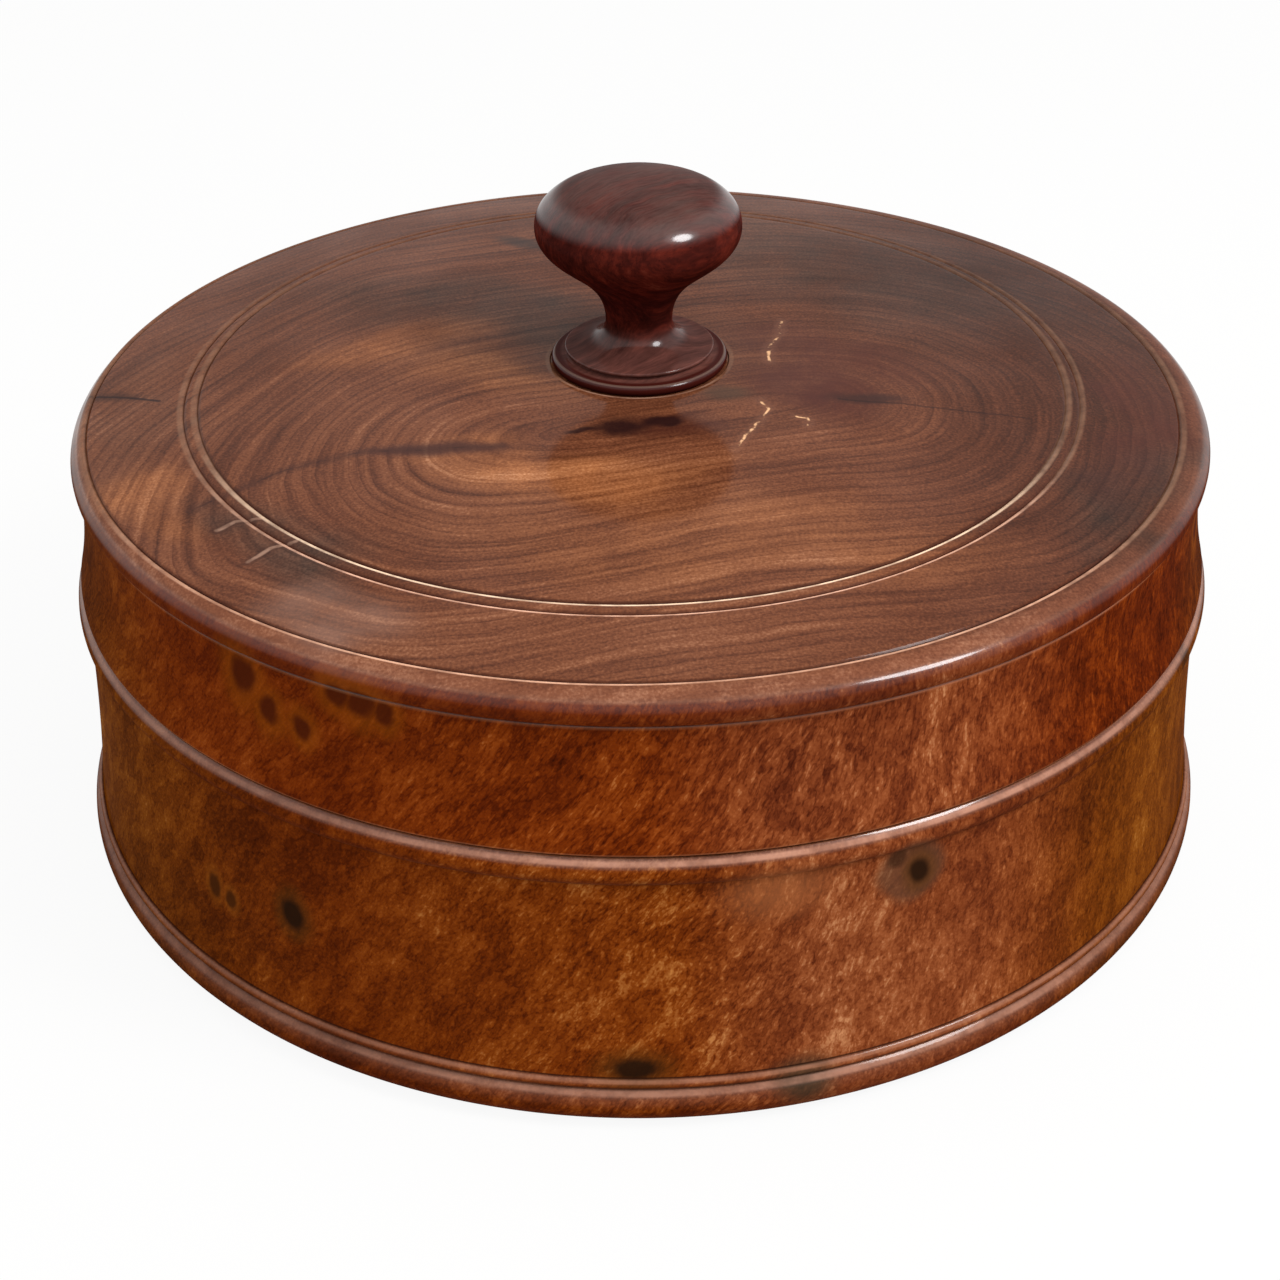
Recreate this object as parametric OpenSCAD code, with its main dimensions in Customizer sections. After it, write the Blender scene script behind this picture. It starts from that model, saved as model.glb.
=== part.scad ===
// Round box turned from a short length of burl log, with a lift-off lid and a dark turned knob.
// Millimetres, +Z up, origin on the table under the middle of the box.

/* [Body] */
// Height from the table to the shoulder that the lid sits on
body_h = 51.1; // [44:0.1:80]
// Outside diameter of the wall just under the joint bead
wall_d = 200.8; // [170:0.2:230]
// Thickness of the wall just under the joint bead
wall_t = 9.4; // [8:0.1:14]
// How much further out the wall stands at its foot than at its top
wall_flare = 2.15; // [0.5:0.05:4]
// How far the wall hollows in from a straight line between its ends
wall_hollow = 0.45; // [0.1:0.05:1.5]
// Thickness of the floor above the foot recess
floor_t = 8.5; // [5:0.5:14]
// Radius of the inside corner between wall and floor
floor_corner_r = 8; // [3:0.5:14]

/* [Foot of the body] */
// Radius of the plinth bead that the box stands on
plinth_bead_r = 4.6; // [3.8:0.1:5]
// How far the plinth bead stands out past the foot bead
plinth_out = 1; // [0.6:0.05:2.5]
// Height of the quirk between the plinth bead and the foot bead
plinth_h = 7.4; // [6.4:0.1:8.4]
// Radius of the small foot bead above the plinth
foot_bead_r = 1; // [0.7:0.1:1.6]
// How far the foot bead stands out past the wall
foot_bead_out = 0.85; // [0.6:0.05:1]
// Width of the flat ring that stands on the table
foot_ring_w = 18; // [8:0.5:30]
// Depth of the recess inside the standing ring
foot_recess_h = 1.5; // [0.5:0.1:3]

/* [Joint between body and lid] */
// Radius of the joint bead on the rim of the body
joint_bead_r = 2.8; // [2:0.1:3.6]
// How far the joint bead stands out past the wall
joint_bead_out = 1.35; // [0.8:0.05:2.4]
// Height of the spigot that the lid slips over
spigot_h = 8; // [5:0.5:12]
// Thickness of the spigot
spigot_t = 4; // [2.5:0.1:4.5]
// Gap all round between the spigot and the lid
lid_clearance = 0.35; // [0.2:0.05:0.8]
// Gap between the top of the spigot and the lid
spigot_top_gap = 0.8; // [0.4:0.1:2]

/* [Lid] */
// Height from the shoulder to the incised line round the top of the lid
lid_h = 27.05; // [25:0.05:40]
// How far the lower edge of the lid stands out past the body's wall
lid_skirt_out = 0.4; // [0.2:0.05:1]
// How far the lid's wall leans in from its lower edge to its rim bead
lid_lean = 2.35; // [0.4:0.05:3.4]
// How far the lid's wall hollows in from a straight line between its ends
lid_hollow = 0.75; // [0.1:0.05:1.5]
// Radius of the rolled outer edge of the rim bead
rim_bead_r = 2.2; // [1.8:0.1:2.8]
// How far the rim bead stands out past the top of the lid's wall
rim_bead_out = 1.05; // [0.4:0.05:1.6]
// Width of the rim bead from the incised line to its widest part
rim_band_w = 4.5; // [3.6:0.1:6]
// Height of the incised line above the widest part of the rim bead
rim_drop = 3.2; // [2.6:0.1:4]
// Rise of the domed top from the rim line to the middle
dome_rise = 6.2; // [3:0.1:10]
// Share of the dome's fall that comes late, towards the rim
dome_late = 0.38; // [0:0.02:0.6]
// Thickness of the lid's top
top_t = 8; // [6:0.5:11]
// Radius of the inside corner under the lid's top
top_corner_r = 6; // [3:0.5:8]
// Diameter of the decorative ring turned on the top, at the middle of its band
ring_d = 157.8; // [100:0.2:170]
// Width of the ring between its two crest lines
ring_w = 2.5; // [1.6:0.1:4]

/* [Incised lines] */
// Width of the groove just inside each crest line of the ring
ring_groove_w = 1; // [0.6:0.1:1.4]
// Depth of the groove just inside each crest line of the ring
ring_groove_h = 0.35; // [0.2:0.05:0.8]
// Width of the fine line inside the rim bead
rim_line_w = 0.7; // [0.4:0.1:1.2]
// Depth of the fine line inside the rim bead
rim_line_h = 0.4; // [0.2:0.05:0.8]
// Height and depth of the quirks cut beside the beads
quirk = 0.7; // [0.4:0.05:1]

/* [Knob] */
// Diameter of the cap at its widest
cap_d = 35.5; // [30:0.5:46]
// Height of the cap above its widest line
cap_crown_h = 8.55; // [6:0.05:12]
// How far the roundness of the cap reaches down from its widest line
cap_belly_h = 6.4; // [4:0.1:9]
// Height of the widest line above the lid
cap_z = 25.05; // [22:0.05:34]
// How far the hollow of the neck reaches up from the waist
neck_h = 9.4; // [6:0.1:12]
// Diameter of the waist
waist_d = 11.6; // [9:0.2:14]
// Height of the waist above the lid
waist_z = 7.9; // [6.5:0.1:10]
// Diameter of the flare above the foot flange
flare_d = 26.2; // [22:0.2:29]
// Diameter of the foot flange
flange_d = 30.9; // [29.2:0.1:38]
// Thickness of the foot flange
flange_t = 1.95; // [1.2:0.05:2.6]
// Depth that the flange is let into the lid
seat_h = 0.3; // [0.1:0.05:0.6]
// Gap round the flange in its seat
seat_gap = 0.3; // [0.2:0.05:0.6]

/* [Knob fixing] */
// Diameter of the knob's tenon
tenon_d = 10; // [8:0.2:11]
// Glue line round the tenon
tenon_gap = 0.1; // [0.05:0.01:0.2]
// Depth of the saw kerf that the wedge is driven into
wedge_h = 6; // [3:0.2:7]
// Thickness of the wedge at its thick end
wedge_thick = 1.8; // [1.2:0.1:2.6]
// Thickness of the wedge at its tip
wedge_tip = 0.7; // [0.4:0.1:1]

/* [Hidden] */
$fn = 96;
arc_steps = 16;
dome_steps = 24;
edge_round = 0.7;
lip_round = 0.35;
quirk_half = quirk / 2;
cap_power = 0.89;
rim_roll_end = 50;
rim_swell = 0.18;
cut_over = 1;

burl = [0.47, 0.21, 0.07];
end_grain = [0.38, 0.20, 0.13];
rosewood = [0.22, 0.08, 0.07];
wedge_wood = [0.62, 0.42, 0.22];

// Radii of the body
wall_top_r = wall_d / 2;
wall_foot_r = wall_top_r + wall_flare;
inside_r = wall_top_r - wall_t;
spigot_r = inside_r + spigot_t;
joint_bead_c = wall_top_r + joint_bead_out - joint_bead_r;
foot_bead_c = wall_foot_r + foot_bead_out - foot_bead_r;
plinth_c = wall_foot_r + foot_bead_out + plinth_out - plinth_bead_r;
recess_r = plinth_c - foot_ring_w;

// Heights of the body
foot_bead_z = plinth_h + foot_bead_r;
joint_bead_z = body_h - joint_bead_r;
wall_foot_z = foot_bead_z + sqrt(foot_bead_r ^ 2 - (wall_foot_r - foot_bead_c) ^ 2);
wall_top_z = joint_bead_z - sqrt(joint_bead_r ^ 2 - (wall_top_r - joint_bead_c) ^ 2);
spigot_z = body_h + spigot_h;
floor_z = foot_recess_h + floor_t;

// Radii and heights of the lid
skirt_r = wall_top_r + lid_skirt_out;
rebate_r = spigot_r + lid_clearance;
rebate_z = spigot_z + spigot_top_gap;
lid_wall_r = skirt_r - lid_lean;
rim_r = lid_wall_r + rim_bead_out;
rim_c = rim_r - rim_bead_r;
rim_line_r = rim_r - rim_band_w;
rim_line_z = body_h + lid_h;
rim_bead_z = rim_line_z - rim_drop;
rim_under_z = rim_bead_z - sqrt(rim_bead_r ^ 2 - (lid_wall_r - rim_c) ^ 2);
hole_r = tenon_d / 2 + tenon_gap;
seat_r = flange_d / 2 + seat_gap;
function dome_fall(t) = (1 - dome_late) * t ^ 2 + dome_late * t ^ 4;
function dome_z(r) = rim_line_z + dome_rise * (1 - dome_fall(r / rim_line_r));
function ceiling_z(r) = dome_z(r) - top_t;
seat_z = dome_z(seat_r) - seat_h;
ceiling_edge_r = inside_r - top_corner_r;

// Heights of the knob
cap_widest_z = seat_z + cap_z;
neck_z = seat_z + waist_z;
tenon_end_z = ceiling_z(hole_r);

// Points of a circular arc round c, from angle a0 to angle a1
function arc(c, r, a0, a1) =
    [for (i = [0:arc_steps]) let (a = a0 + (a1 - a0) * i / arc_steps) c + r * [cos(a), sin(a)]];

// Points of a shallow curve from p to q that hollows in towards the axis
function hollowed(p, q, depth) =
    let (along = q - p, inwards = [-along.y, along.x] / norm(along))
    [for (i = [0:arc_steps]) let (t = i / arc_steps) p + t * along + inwards * 4 * depth * t * (1 - t)];

// Points of the lid's dome, or of its ceiling, from radius r0 to radius r1
function domed(r0, r1, drop) =
    [for (i = [0:dome_steps]) let (r = r0 + (r1 - r0) * i / dome_steps) [r, dome_z(r) - drop]];

// Three points of a V groove, centred at radius r in the dome, from the outside in
function dome_groove(r, w, h) =
    [for (s = [1, 0, -1]) [r + s * w / 2, dome_z(r + s * w / 2) - (1 - abs(s)) * h]];

// Points of a cubic curve from p to s that leaves towards q and arrives from r
function swept(p, q, r, s) =
    [for (i = [0:arc_steps]) let (t = i / arc_steps, u = 1 - t)
        u ^ 3 * p + 3 * t * u ^ 2 * q + 3 * t ^ 2 * u * r + t ^ 3 * s];

// All points of a run but its first
function after_first(run) = [for (i = [1:len(run) - 1]) run[i]];

// Turned body: plinth, foot bead, hollowed wall, joint bead, spigot and the hollow inside
module box_body() {
    plinth_top = asin((plinth_h - plinth_bead_r) / plinth_bead_r);
    foot_bead_end = acos((wall_foot_r - foot_bead_c) / foot_bead_r);
    joint_bead_end = acos((wall_top_r - joint_bead_c) / joint_bead_r);
    outline = concat(
        [[0, foot_recess_h], [recess_r, foot_recess_h], [recess_r, 0]],
        arc([plinth_c, plinth_bead_r], plinth_bead_r, -90, plinth_top),
        [[foot_bead_c - quirk, plinth_h + quirk_half]],
        arc([foot_bead_c, foot_bead_z], foot_bead_r, -60, foot_bead_end),
        hollowed([wall_foot_r, wall_foot_z], [wall_top_r, wall_top_z - quirk_half], wall_hollow),
        [[wall_top_r - quirk_half, wall_top_z]],
        arc([joint_bead_c, joint_bead_z], joint_bead_r, -joint_bead_end, 90),
        [[spigot_r, body_h]],
        arc([spigot_r - edge_round, spigot_z - edge_round], edge_round, 0, 90),
        arc([inside_r + edge_round, spigot_z - edge_round], edge_round, 90, 180),
        arc([inside_r - floor_corner_r, floor_z + floor_corner_r], floor_corner_r, 0, -90),
        [[0, floor_z]]
    );
    color(burl) rotate_extrude() polygon(outline);
}

// Turned lid: skirt and rebate, hollowed wall, rim bead, domed top with its ring, and the knob's seat
module lid() {
    rim_under = acos((lid_wall_r - rim_c) / rim_bead_r);
    groove_r = (ring_d - ring_groove_w) / 2;
    outer_groove = dome_groove(groove_r + ring_w / 2, ring_groove_w, ring_groove_h);
    inner_groove = dome_groove(groove_r - ring_w / 2, ring_groove_w, ring_groove_h);
    rim_line = rim_line_r - rim_line_w / 2;
    rim_roll = arc([rim_c, rim_bead_z], rim_bead_r, -rim_under, rim_roll_end);
    outline = concat(
        [[rebate_r, body_h + edge_round], [rebate_r + edge_round, body_h]],
        arc([skirt_r - edge_round, body_h + edge_round], edge_round, -90, 0),
        hollowed([skirt_r, body_h + 2 * edge_round], [lid_wall_r, rim_under_z - quirk_half], lid_hollow),
        [[lid_wall_r - quirk_half, rim_under_z]],
        rim_roll,
        after_first(hollowed(rim_roll[arc_steps], [rim_line_r, rim_line_z], -rim_swell)),
        [[rim_line, dome_z(rim_line) - rim_line_h]],
        domed(rim_line_r - rim_line_w, outer_groove[0].x, 0),
        [outer_groove[1]],
        domed(outer_groove[2].x, inner_groove[0].x, 0),
        [inner_groove[1]],
        domed(inner_groove[2].x, seat_r, 0),
        [[seat_r, seat_z], [hole_r, seat_z]],
        domed(hole_r, ceiling_edge_r, top_t),
        arc([ceiling_edge_r, ceiling_z(ceiling_edge_r) - top_corner_r], top_corner_r, 90, 0),
        [[inside_r, rebate_z], [rebate_r, rebate_z]]
    );
    color(end_grain) rotate_extrude() polygon(outline);
}

// Tapered slab that the wedge and its kerf share, standing in the end of the tenon
module wedge_slab(over) {
    rotate([90, 0, 0])
        linear_extrude(tenon_d + cut_over, center = true)
            polygon([
                [-wedge_thick / 2, tenon_end_z - over], [wedge_thick / 2, tenon_end_z - over],
                [wedge_thick / 2, tenon_end_z], [wedge_tip / 2, tenon_end_z + wedge_h],
                [-wedge_tip / 2, tenon_end_z + wedge_h], [-wedge_thick / 2, tenon_end_z]
            ]);
}

// Turned knob: cap, waist, flare and foot flange, on a tenon that is split for the wedge
module knob() {
    cap_r = cap_d / 2;
    waist_r = waist_d / 2;
    flare_r = flare_d / 2;
    flange_c = flange_d / 2 - flange_t / 2;
    flange_top_z = seat_z + flange_t;
    flare_z = flange_top_z + quirk;
    steps = [for (i = [0:arc_steps]) i / arc_steps];
    outline = concat(
        [[0, tenon_end_z], [tenon_d / 2, tenon_end_z], [tenon_d / 2, seat_z], [flange_c, seat_z]],
        arc([flange_c, seat_z + flange_t / 2], flange_t / 2, -90, 90),
        [[flare_r, flange_top_z], [flare_r - quirk, flange_top_z + quirk_half]],
        arc([flare_r - lip_round, flare_z + lip_round], lip_round, -90, 90),
        [for (t = steps) if (t > 0)
            [waist_r + (flare_r - lip_round - waist_r) * (1 - sin(90 * t)),
             neck_z - (neck_z - flare_z - 2 * lip_round) * cos(90 * t)]],
        after_first(swept([waist_r, neck_z], [waist_r, neck_z + neck_h],
            [cap_r, cap_widest_z - cap_belly_h], [cap_r, cap_widest_z])),
        [for (t = steps) if (t > 0)
            [cap_r * cos(90 * t) ^ cap_power, cap_widest_z + cap_crown_h * sin(90 * t) ^ cap_power]]
    );
    color(rosewood) difference() {
        rotate_extrude() polygon(outline);
        wedge_slab(cut_over);
    }
}

// Hardwood wedge driven into the split end of the tenon and trimmed flush with it
module knob_wedge() {
    color(wedge_wood) intersection() {
        wedge_slab(0);
        translate([0, 0, tenon_end_z]) cylinder(h = wedge_h, d = tenon_d);
    }
}

box_body();
lid();
knob();
knob_wedge();
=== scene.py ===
import math

import bpy
import numpy as np
from mathutils import Matrix, Vector


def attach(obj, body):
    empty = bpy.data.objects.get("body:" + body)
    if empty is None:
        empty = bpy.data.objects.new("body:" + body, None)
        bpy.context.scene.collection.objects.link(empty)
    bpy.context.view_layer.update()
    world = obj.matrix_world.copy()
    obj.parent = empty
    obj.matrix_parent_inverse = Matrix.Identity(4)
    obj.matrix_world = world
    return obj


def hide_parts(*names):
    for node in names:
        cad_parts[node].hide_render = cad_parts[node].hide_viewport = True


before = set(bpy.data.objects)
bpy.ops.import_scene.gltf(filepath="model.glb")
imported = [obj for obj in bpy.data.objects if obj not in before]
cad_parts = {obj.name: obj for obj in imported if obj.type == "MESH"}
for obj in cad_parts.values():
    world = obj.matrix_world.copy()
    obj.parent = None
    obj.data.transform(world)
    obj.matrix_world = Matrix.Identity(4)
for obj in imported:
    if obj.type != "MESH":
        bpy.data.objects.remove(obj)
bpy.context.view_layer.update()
scene = bpy.context.scene
mm = 0.001
print("frame loaded:", ", ".join(sorted(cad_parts)))


# numbers and curves

def lin(red, green, blue):  # a colour as shown on screen, 0 to 255, as the shader wants it
    c = np.array([red, green, blue]) / 255.0
    c = np.where(c <= 0.04045, c / 12.92, ((c + 0.055) / 1.055) ** 2.4)
    return (*c.tolist(), 1.0)


def shades(*colours):  # stops of a ramp from dark to pale: even steps, or five closer to the middle
    at = (0.0, 0.3, 0.5, 0.7, 1.0) if len(colours) == 5 else np.linspace(0, 1, len(colours)).tolist()
    return tuple((stop, lin(*colour)) for stop, colour in zip(at, colours))


def smooth(a, b, x):  # 0 up to a, 1 from b on, an easy S between them
    t = np.clip((x - a) / (b - a), 0, 1)
    return t * t * (3 - 2 * t)


def arc(centre, radius, start, end, count=24):  # points at equal angles round a centre, in the r, z plane
    a = np.radians(np.linspace(start, end, count))
    return np.stack([centre[0] + radius * np.cos(a), centre[1] + radius * np.sin(a)], 1)


def eased(centre, radius, start, *turns):
    # An arc that goes on in others without a kink. Each turn is the angle where the next arc starts and its radius,
    # and the last turn is the angle where all of it ends.
    runs = []
    for angle, wide in turns[:-1]:
        runs.append(arc(centre, radius, start, angle))
        a = math.radians(angle)
        centre = (centre[0] + (radius - wide) * math.cos(a), centre[1] + (radius - wide) * math.sin(a))
        radius, start = wide, angle
    return np.vstack([*runs, arc(centre, radius, start, turns[-1])])


def hollowed(p, q, depth, count=40):  # straight from p to q, pulled in to the left by a parabola of that depth
    p, q = np.array(p, float), np.array(q, float)
    t = np.linspace(0, 1, count)[:, None]
    inward = np.array([p[1] - q[1], q[0] - p[0]]) / np.hypot(*(q - p))
    return p + t * (q - p) + inward * 4 * depth * t * (1 - t)


def swept(p, q, r, s, count=40):  # a cubic curve from p to s that leaves towards q and arrives from r
    t = np.linspace(0, 1, count)[:, None]
    p, q, r, s = np.array([p, q, r, s], float)
    return (1 - t) ** 3 * p + 3 * t * (1 - t) ** 2 * q + 3 * t ** 2 * (1 - t) * r + t ** 3 * s


def joined(*pieces):  # one outline from points and runs of points
    return np.vstack([np.atleast_2d(np.array(p, float)) for p in pieces])


def softened(outline, ring, blur, longest, turn):
    # The outline is walked in tiny equal steps and averaged with a bell curve, which rounds every edge as use does.
    # It is then cut where length / longest + turning / turn has grown by one, so curves get more points than flats.
    step = 0.04
    pts = np.vstack([outline, outline[:1]]) if ring else outline
    seg = np.hypot(*np.diff(pts, axis=0).T)
    pts = pts[np.concatenate([[True], seg > 1e-6])]
    walked = np.concatenate([[0], np.cumsum(np.hypot(*np.diff(pts, axis=0).T))])
    count = int(walked[-1] / step)
    s = np.linspace(0, walked[-1], count + 1)
    fine = np.stack([np.interp(s, walked, pts[:, k]) for k in (0, 1)], 1)
    reach = int(4 * blur / step)
    bell = np.exp(-0.5 * (np.arange(-reach, reach + 1) * step / blur) ** 2)
    bell /= bell.sum()
    if ring:
        body = fine[:-1]
        wide = np.vstack([body[-reach:], body, body[:reach]])
    else:
        wide = np.vstack([2 * fine[0] - fine[reach:0:-1], fine, 2 * fine[-1] - fine[-2:-reach - 2:-1]])
    fine = np.stack([np.convolve(wide[:, k], bell, "valid") for k in (0, 1)], 1)
    if ring:
        fine = np.vstack([fine, fine[:1]])
    way = np.diff(fine, axis=0)
    heading = np.unwrap(np.arctan2(way[:, 1], way[:, 0]))
    bend = np.abs(np.diff(heading, prepend=heading[:1]))
    grow = np.concatenate([[0], np.cumsum(np.hypot(*way.T) / longest + bend / math.radians(turn))])
    cuts = np.linspace(0, grow[-1], int(math.ceil(grow[-1])) + 1)
    out = np.stack([np.interp(cuts, grow, fine[:, k]) for k in (0, 1)], 1)
    return out[:-1] if ring else out


def outlineFrame(outline, ring):  # the outward normal and the turning (edges above 0, quirks below) at each point
    if ring:
        before, after = np.roll(outline, 1, 0), np.roll(outline, -1, 0)
    else:
        before = np.vstack([outline[:1] * [-1, 1] if outline[0, 0] == 0 else outline[:1], outline[:-1]])
        after = np.vstack([outline[1:], outline[-1:]])
    a, b = outline - before, after - outline
    way = after - before
    normal = np.stack([way[:, 1], -way[:, 0]], 1) / np.maximum(np.hypot(*way.T), 1e-9)[:, None]
    cross = a[:, 0] * b[:, 1] - a[:, 1] * b[:, 0]
    bend = np.arctan2(cross, (a * b).sum(1)) / np.maximum((np.hypot(*a.T) + np.hypot(*b.T)) / 2, 1e-6)
    return normal, bend


def turned(name, outline, angles, ring, spread=None):
    # Surface of revolution: point (r, z) of the outline at angle a is (r cos a, r sin a, z). Where the wood has moved,
    # x is stretched and shifted by spread(r, z). An open outline starts and ends on the axis, where one vertex closes each pole.
    keep = slice(None) if ring else slice(1, -1)
    r, z = outline[keep, 0][:, None], outline[keep, 1][:, None]
    a = angles[None, :]
    stretch, shift = spread(r, z) if spread else (1.0, 0.0)
    pts = np.stack([r * stretch * np.cos(a) + shift, r * np.sin(a), z + 0 * a], 2).reshape(-1, 3)
    rows, cols = len(r), len(angles)
    cell = np.arange(rows * cols).reshape(rows, cols)
    low = cell if ring else cell[:-1]
    high = np.roll(cell, -1, 0) if ring else cell[1:]
    quads = np.stack([low, np.roll(low, -1, 1), np.roll(high, -1, 1), high], 2).reshape(-1, 4)
    faces = quads.tolist()
    if not ring:
        pts = np.vstack([pts, [0, 0, outline[0, 1]], [0, 0, outline[-1, 1]]])
        first, last = rows * cols, rows * cols + 1
        fan = np.stack([np.full(cols, first), np.roll(cell[0], -1), cell[0]], 1)
        cap = np.stack([np.full(cols, last), cell[-1], np.roll(cell[-1], -1)], 1)
        faces += fan.tolist() + cap.tolist()
    mesh = bpy.data.meshes.new(name)
    mesh.from_pydata((pts * mm).tolist(), [], faces)
    mesh.polygons.foreach_set("use_smooth", np.ones(len(mesh.polygons), bool))
    mesh.update()
    piece = bpy.data.objects.new(name, mesh)
    scene.collection.objects.link(piece)
    print(f"{name}: {rows} x {cols} points, {sum(len(f) - 2 for f in faces)} triangles")
    return piece


# the body of the box

bodyShape = dict(
    plinthCentre=99.8, plinthBead=4.6, plinthTop=7.4, footBeadCentre=102.4, footBead=1.0,
    wallFoot=102.55, wallTop=100.4, wallHollow=0.45, jointBeadCentre=98.95, jointBead=2.8, shoulder=51.1,
    spigot=95.0, spigotTop=59.1, inside=91.0, insideFloor=10.0, corner=8.0, recess=81.8, recessTop=1.5,
    plinthRoll=((16, 1.4), (40, 5.0), 56.5), jointRoll=((20, 1.6), (34, 6.0), 50), footStart=-60,
    beadLine=7.0, beadLineHalf=5, beadCut=0.05, fade=0.1,  # fine line on the joint bead, and depth of the quirk under that bead
    quirk=0.7, edge=0.7, blur=0.13, longest=2.4, turn=11.0, columns=390,
)


def bodyOutline(k):
    footZ = k["plinthTop"] + k["footBead"]
    jointZ = k["shoulder"] - k["jointBead"]
    footEnd = math.degrees(math.acos((k["wallFoot"] - k["footBeadCentre"]) / k["footBead"]))
    jointEnd = math.degrees(math.acos((k["wallTop"] - k["jointBeadCentre"]) / k["jointBead"]))
    wallLow = footZ + k["footBead"] * math.sin(math.radians(footEnd))
    wallHigh = jointZ - k["jointBead"] * math.sin(math.radians(jointEnd))
    half = k["quirk"] / 2
    return joined(
        (0, k["recessTop"]), (k["recess"], k["recessTop"]), (k["recess"], 0),
        eased((k["plinthCentre"], k["plinthBead"]), k["plinthBead"], -90, *k["plinthRoll"]),
        (k["footBeadCentre"] - k["quirk"], k["plinthTop"] + half),
        arc((k["footBeadCentre"], footZ), k["footBead"], k["footStart"], footEnd),
        hollowed((k["wallFoot"], wallLow), (k["wallTop"], wallHigh - half), k["wallHollow"]),
        (k["wallTop"] - k["fade"], wallHigh),
        arc((k["jointBeadCentre"], jointZ), k["jointBead"], -jointEnd, k["beadLine"] - k["beadLineHalf"]),
        arc((k["jointBeadCentre"], jointZ), k["jointBead"] - k["beadCut"], k["beadLine"], k["beadLine"], 1),
        eased((k["jointBeadCentre"], jointZ), k["jointBead"], k["beadLine"] + k["beadLineHalf"], *k["jointRoll"]),
        (k["spigot"], k["shoulder"]),
        arc((k["spigot"] - k["edge"], k["spigotTop"] - k["edge"]), k["edge"], 0, 90),
        arc((k["inside"] + k["edge"], k["spigotTop"] - k["edge"]), k["edge"], 90, 180),
        arc((k["inside"] - k["corner"], k["insideFloor"] + k["corner"]), k["corner"], 0, -90),
        (0, k["insideFloor"]),
    )


def evenAngles(count):
    return np.linspace(0, 2 * np.pi, count, endpoint=False)


bodyLine = softened(bodyOutline(bodyShape), False, bodyShape["blur"], bodyShape["longest"], bodyShape["turn"])
body = turned("boxBody", bodyLine, evenAngles(bodyShape["columns"]), False)


# the lid

lidShape = dict(
    shoulder=51.1, skirt=100.8, wallTop=98.45, wallHollow=0.75,
    rimCentre=97.3, rimBead=2.2, rimZ=74.95, rollEnd=30.0, arris=3.4, arrisEnd=60.0,
    bandSwell=0.19, line=95.0, lineZ=78.15, rise=6.2, late=0.38, lineWidth=0.7, lineDepth=0.4,
    ring=78.9, ringWidth=2.5, grooveWidth=1.0, grooveDepth=0.35, thick=8.0, corner=6.0, inside=91.0,
    rebate=95.35, rebateTop=59.9, hole=5.1, seat=15.75, seatDepth=0.3,
    movedAbove=77, spreadAt=(55, 72, 83, 90, 95, 98.2), spread=(0, -0.0165, -0.0165, 0, 0.008, 0),  # by radius
    shiftAt=(30, 70, 95, 98.2), shift=(0, -1.5, -1.3, 0),
    quirk=0.7, edge=0.7, blur=0.11, longest=2.4, turn=11.0, columns=390,
)


def domeHeight(k, r):  # the domed top falls with the square of r, and with its fourth power near the rim
    t = np.asarray(r, float) / k["line"]
    return k["lineZ"] + k["rise"] * (1 - (1 - k["late"]) * t ** 2 - k["late"] * t ** 4)


def lidOutline(k):
    rimUnder = math.degrees(math.acos((k["wallTop"] - k["rimCentre"]) / k["rimBead"]))
    under = k["rimZ"] - k["rimBead"] * math.sin(math.radians(rimUnder))
    half = k["quirk"] / 2
    roll = eased((k["rimCentre"], k["rimZ"]), k["rimBead"], -rimUnder, (k["rollEnd"], k["arris"]), k["arrisEnd"])
    height = lambda r: float(domeHeight(k, r))
    dome = lambda a, b, drop=0.0: np.stack([np.linspace(a, b, 40), domeHeight(k, np.linspace(a, b, 40)) - drop], 1)
    line = k["line"] - k["lineWidth"] / 2
    crests = [k["ring"] + side * k["ringWidth"] / 2 for side in (1, -1)]
    cuts = [(c - k["grooveWidth"] / 2, height(c - k["grooveWidth"] / 2) - k["grooveDepth"]) for c in crests]
    seatZ = height(k["seat"]) - k["seatDepth"]
    edgeR = k["inside"] - k["corner"]
    return joined(
        (k["rebate"], k["shoulder"] + k["edge"]), (k["rebate"] + k["edge"], k["shoulder"]),
        arc((k["skirt"] - k["edge"], k["shoulder"] + k["edge"]), k["edge"], -90, 0),
        hollowed((k["skirt"], k["shoulder"] + 2 * k["edge"]), (k["wallTop"], under - half), k["wallHollow"]),
        (k["wallTop"] - half, under),
        roll, hollowed(roll[-1], (k["line"], k["lineZ"]), -k["bandSwell"]),
        (line, height(line) - k["lineDepth"]),
        dome(k["line"] - k["lineWidth"], crests[0]), cuts[0],
        dome(crests[0] - k["grooveWidth"], crests[1]), cuts[1],
        dome(crests[1] - k["grooveWidth"], k["seat"]),
        (k["seat"], seatZ), (k["hole"], seatZ),
        dome(k["hole"], edgeR, k["thick"]),
        arc((edgeR, height(edgeR) - k["thick"] - k["corner"]), k["corner"], 90, 0),
        (k["inside"], k["rebateTop"]), (k["rebate"], k["rebateTop"]),
    )


def lidSpread(r, z):  # the ring has drawn in across the lid, the line inside the rim has spread, both a little to the left
    k = lidShape
    top = z > k["movedAbove"]
    return 1 + top * np.interp(r, k["spreadAt"], k["spread"]), top * np.interp(r, k["shiftAt"], k["shift"])


lidLine = softened(lidOutline(lidShape), True, lidShape["blur"], lidShape["longest"], lidShape["turn"])
lid = turned("boxLid", lidLine, evenAngles(lidShape["columns"]), True, lidSpread)


# the knob

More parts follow.
